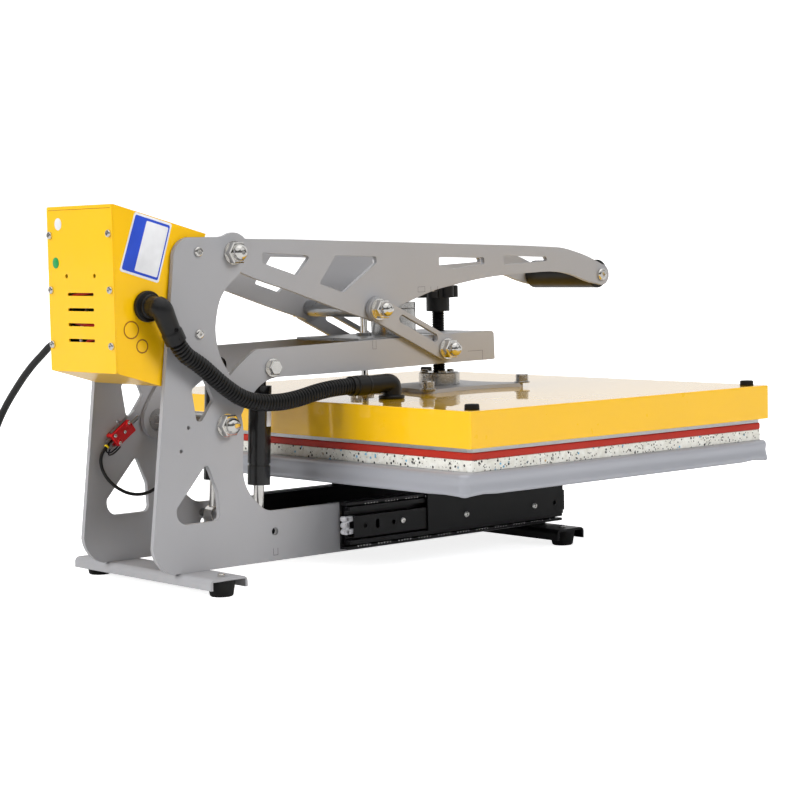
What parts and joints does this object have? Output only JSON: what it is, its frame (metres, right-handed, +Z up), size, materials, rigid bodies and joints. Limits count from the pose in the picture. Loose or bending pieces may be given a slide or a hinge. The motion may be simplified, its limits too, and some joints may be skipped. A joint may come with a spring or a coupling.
{
  "type": "clamshell heat press",
  "caption": "Clamshell heat press: toggle lever and tilting heated platen over a pull-out padded table, wedge control box at the back, plate frame on rubber feet",
  "frame": {"origin": "middle of the footprint on the floor, under the feet", "axes": "+Z up, -Y towards the operator and the handle, +Y towards the control box, X across the machine with +X the side where the mains cord leaves"},
  "size_m": [0.6315, 0.7145, 0.3486],
  "materials": {
    "grey_paint": "satin powder coat, light grey",
    "yellow_paint": "gloss powder coat, yellow",
    "black_steel": "black coated steel, satin",
    "tray_grey": "satin paint, cool grey",
    "bright_steel": "polished plated steel",
    "ground_steel": "ground steel",
    "zinc_steel": "zinc plated steel",
    "black_plastic": "moulded black plastic, fine texture",
    "black_rubber": "black rubber",
    "cord_black": "black PVC",
    "cast_aluminium": "cast aluminium, machined face",
    "silicone_red": "red silicone rubber",
    "foam_speckled": "bonded foam, white with dark, blue and orange specks",
    "board_green": "printed board",
    "button_grey": "moulded plastic",
    "panel_face": "printed overlay, dark",
    "rocker_red": "gloss plastic"
  },
  "bodies": {
    "frame": {"side_plate_left": "grey_paint", "side_plate_right": "grey_paint", "rear_foot_channel": "grey_paint", "front_foot_channel": "black_steel", "rubber_feet": "black_rubber", "frame_screws": "bright_steel", "rail_pan": "black_steel", "slide_outer_members": "black_steel", "control_box_shell": "yellow_paint", "box_back_panel": "yellow_paint", "control_panel": "panel_face", "circuit_board": "board_green", "strain_relief": "black_plastic", "pivot_bolts": "bright_steel", "spring_anchor_rod": "zinc_steel", "micro_switch": "rocker_red", "switch_lead": "cord_black", "hose_elbow_box": "black_plastic", "mains_cord": "cord_black", "cord_coil": "cord_black", "mains_plug": "cord_black"},
    "mode_button": {"button_mode": "button_grey"},
    "down_button": {"button_down": "button_grey"},
    "up_button": {"button_up": "button_grey"},
    "rocker": {"power_rocker": "rocker_red"},
    "switch_plunger": {"micro_switch_plunger": "zinc_steel"},
    "lever": {"lever_plate_left": "grey_paint", "lever_plate_right": "grey_paint", "lever_cross_tubes": "ground_steel", "lever_bridge": "grey_paint", "armature_disc": "ground_steel", "handle_grip": "black_plastic", "grip_bolts": "bright_steel"},
    "links": {"link_pair": "grey_paint", "link_upper_nuts": "bright_steel"},
    "arm": {"arm_plate_left": "grey_paint", "arm_plate_right": "grey_paint", "arm_cross_tube": "ground_steel", "arm_cross_plate": "zinc_steel", "arm_front_box": "grey_paint", "electromagnet": "ground_steel", "arm_pins": "bright_steel", "heater_hose": "black_plastic"},
    "spring_rods": {"gas_spring_rods": "ground_steel"},
    "spring_cylinders": {"gas_spring_cylinders": "black_steel"},
    "platen": {"platen_cover": "yellow_paint", "heating_plate": "cast_aluminium", "mounting_plate": "grey_paint", "platen_bolts": "bright_steel", "screw_collar": "bright_steel", "guide_rod": "ground_steel", "hose_elbow_platen": "black_plastic"},
    "adjusting_screw": {"threaded_spindle": "black_steel", "star_knob": "black_plastic"},
    "drawer": {"table_tray": "tray_grey", "foam_pad": "foam_speckled", "silicone_sheet": "silicone_red", "drawer_brackets": "black_steel", "slide_inner_members": "black_steel"},
    "slide_middles": {"slide_middle_members": "black_steel"}
  },
  "joints": [
    {"name": "lever_hinge", "type": "hinge", "parent": "frame", "child": "lever", "pos_m": [0, 0.195, 0.304], "axis": [-1, 0, 0], "range_deg": [0, 75]},
    {"name": "arm_hinge", "type": "hinge", "parent": "frame", "child": "arm", "pos_m": [0, 0.208, 0.1475], "axis": [-1, 0, 0], "range_deg": [0, 42.2], "deforming": ["heater_hose"]},
    {"name": "link_hinge", "type": "hinge", "parent": "arm", "child": "links", "pos_m": [0, -0.0655, 0.205], "axis": [1, 0, 0], "range_deg": [0, 74.6]},
    {"name": "spring_rod_hinge", "type": "hinge", "parent": "frame", "child": "spring_rods", "pos_m": [0, 0.156, 0.054], "axis": [-1, 0, 0], "range_deg": [0, 16.6]},
    {"name": "spring_stroke", "type": "slide", "parent": "spring_rods", "child": "spring_cylinders", "axis": [0, -0.0489, 0.9988], "range_m": [0, 0.0317]},
    {"name": "platen_height", "type": "slide", "parent": "arm", "child": "platen", "axis": [0, 0, 1], "range_m": [0, 0.008]},
    {"name": "pressure_screw", "type": "hinge", "parent": "platen", "child": "adjusting_screw", "pos_m": [0, -0.108, 0.211], "axis": [0, 0, 1], "range_deg": [0, 1160]},
    {"name": "drawer_slide", "type": "slide", "parent": "frame", "child": "drawer", "axis": [0, -1, 0], "range_m": [0, 0.29]},
    {"name": "middle_slide", "type": "slide", "parent": "frame", "child": "slide_middles", "axis": [0, -1, 0], "range_m": [0, 0.1451]},
    {"name": "mode_button_press", "type": "slide", "parent": "frame", "child": "mode_button", "axis": [0, 0.2639, -0.9646], "range_m": [0, 0.0012], "stiffness_N_per_m": 300},
    {"name": "down_button_press", "type": "slide", "parent": "frame", "child": "down_button", "axis": [0, 0.2639, -0.9646], "range_m": [0, 0.0012], "stiffness_N_per_m": 300},
    {"name": "up_button_press", "type": "slide", "parent": "frame", "child": "up_button", "axis": [0, 0.2639, -0.9646], "range_m": [0, 0.0012], "stiffness_N_per_m": 300},
    {"name": "power_rocker_tilt", "type": "hinge", "parent": "frame", "child": "rocker", "pos_m": [0.051, 0.294, 0.29], "axis": [0, 1, 0], "range_deg": [-7, 7]},
    {"name": "switch_plunger_press", "type": "slide", "parent": "frame", "child": "switch_plunger", "axis": [0, 0.8131, -0.5821], "range_m": [0, 0.002], "stiffness_N_per_m": 200}
  ],
  "couplings": [
    {"joint": "arm_hinge", "follows": "lever_hinge", "ratio": 0.5605},
    {"joint": "link_hinge", "follows": "lever_hinge", "ratio": 0.9912},
    {"joint": "spring_rod_hinge", "follows": "lever_hinge", "ratio": 0.2197},
    {"joint": "spring_stroke", "follows": "lever_hinge", "m_per_rad": 0.02411},
    {"joint": "pressure_screw", "follows": "platen_height", "rad_per_m": 2513.3},
    {"joint": "middle_slide", "follows": "drawer_slide", "ratio": 0.5}
  ]
}
